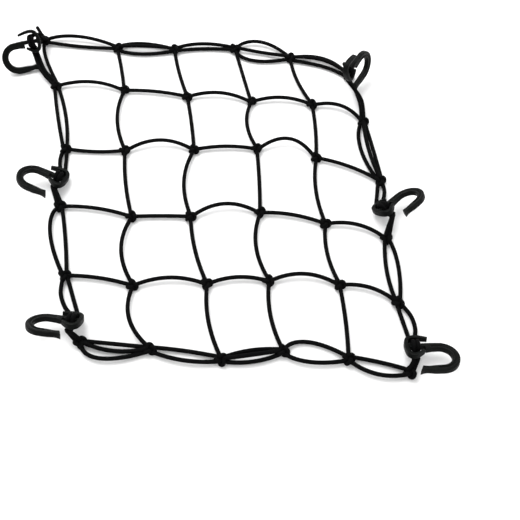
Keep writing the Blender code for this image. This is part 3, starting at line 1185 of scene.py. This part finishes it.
    def skin(self) -> tuple[np.ndarray, bpy.types.Mesh, np.ndarray]:
        """Shape of one hook in its own axes, with how sharp its edges are.

        Returns:
            Points, the mesh that holds the faces, and edge sharpness per point.
        """
        mesh = self.fuse([
            self.grooved_bar(),
            self.limb(STEM, self.stem_depth, self.stem_depth),
            self.limb(HEAD, self.head_depth, self.head_depth - self.head_taper),
        ])
        edges = read_rows(mesh.edges, "vertices", 2, np.int32)
        points = read_rows(mesh.vertices, "co", 3).astype(float)
        points = self.soften(points, edges, self.skin_rounds)
        write_rows(mesh.vertices, "co", points)
        mesh.update()
        normals = read_rows(mesh.vertices, "normal", 3)
        eased = self.soften(points, edges, self.edge_rounds)
        sharp = ((points - eased) * normals).sum(axis=1) / self.cell
        return points, mesh, np.clip(sharp * self.edge_gain, 0.0, 1.0)

    def build(self) -> list[bpy.types.Object]:
        """Place the six hooks as they lie on the net.

        Returns:
            The six pieces.
        """
        points, pattern, sharp = self.skin()
        pieces = []
        for n, (name, (*pose, x, y, z, _)) in enumerate(HOOKS.items()):
            mesh = pattern.copy()
            mesh.name = name + "_moulding"
            lying = points @ hook_axes(*pose).T + (x, y, z)
            write_rows(mesh.vertices, "co", placed(lying))
            mould = mesh.attributes.new("mould", "FLOAT_VECTOR", "POINT")
            write_rows(mould.data, "vector", points + (0.0, 0.0, self.grain_shift * n))
            edge = mesh.attributes.new("edge", "FLOAT", "POINT")
            write_rows(edge.data, "value", sharp)
            mesh.shade_smooth()
            mesh.update()
            hook = piece_from(mesh, name + "_moulding",
                              MouldedPlastic(name + "_plastic").material())
            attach(hook, "root")
            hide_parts(name)
            pieces.append(hook)
            log.info("%s: %d faces", hook.name, len(mesh.polygons))
        bpy.data.meshes.remove(pattern)
        return pieces


# ---------- studio
@dataclass
class Studio:
    """White floor, a soft lamp above and behind the part, an even sky and the camera."""

    camera_place: tuple = (0.0681, -0.5498, 0.7618)
    camera_tilt: float = 30.0      # degrees from straight down
    lens: float = 51.96            # focal length and width of the sensor in millimetres
    sensor: float = 36.0
    clip: tuple = (0.05, 50.0)
    floor_reach: float = 9.0
    floor_gap: float = 0.0001      # keeps the part's underside out of the floor
    lamp_place: tuple = (-0.45, 0.8, 1.55)
    lamp_size: float = 1.2
    lamp_power: float = 28.0
    sky_strength: float = 1.2

    def add_floor(self) -> None:
        """Lay a square floor under the part."""
        low = CAD_BOX[0].z - self.floor_gap
        corners = [(x * self.floor_reach, y * self.floor_reach, low)
                   for x, y in ((-1, -1), (1, -1), (1, 1), (-1, 1))]
        mesh = bpy.data.meshes.new("floor")
        mesh.from_pydata(corners, [], [(0, 1, 2, 3)])
        floor = piece_from(mesh, "floor", PaleFloor().material())

    def add_lamp(self) -> None:
        """Hang the square soft lamp, aimed at the part's middle."""
        lamp = bpy.data.lights.new("key", "AREA")
        lamp.size = self.lamp_size
        lamp.energy = self.lamp_power
        holder = in_scene("key", lamp)
        holder.location = x, y, z = self.lamp_place
        holder.rotation_euler = (math.atan2(math.hypot(x, y), z), 0.0, math.atan2(x, -y))

    def add_sky(self) -> None:
        """Even white light from all round."""
        world = bpy.data.worlds.new("studio")
        world.use_nodes = True
        back = world.node_tree.nodes["Background"]
        back.inputs["Color"].default_value = (1.0, 1.0, 1.0, 1.0)
        back.inputs["Strength"].default_value = self.sky_strength
        bpy.context.scene.world = world

    def add_camera(self) -> None:
        """Set up the camera."""
        lens = bpy.data.cameras.new("camera")
        lens.lens = self.lens
        lens.sensor_width = self.sensor
        lens.clip_start, lens.clip_end = self.clip
        camera = in_scene("camera", lens)
        camera.location = self.camera_place
        camera.rotation_euler = (math.radians(self.camera_tilt), 0.0, 0.0)
        bpy.context.scene.camera = camera

    def build(self) -> None:
        """Build the studio."""
        self.add_camera()
        self.add_floor()
        self.add_lamp()
        self.add_sky()
        bpy.context.scene.view_settings.view_transform = "Standard"


def main() -> None:
    """Build the studio, the net and its hooks."""
    logging.basicConfig(level=logging.INFO, format="%(message)s")
    Studio().build()
    maker = CargoNet()
    net = maker.build()
    log.info("net: %.2f m of cord in %d spans, %d faces", sum(maker.lengths) * MM,
             len(maker.lengths), len(net.data.polygons))
    hooks = NetHook().build()


if __name__ == "__main__":
    main()
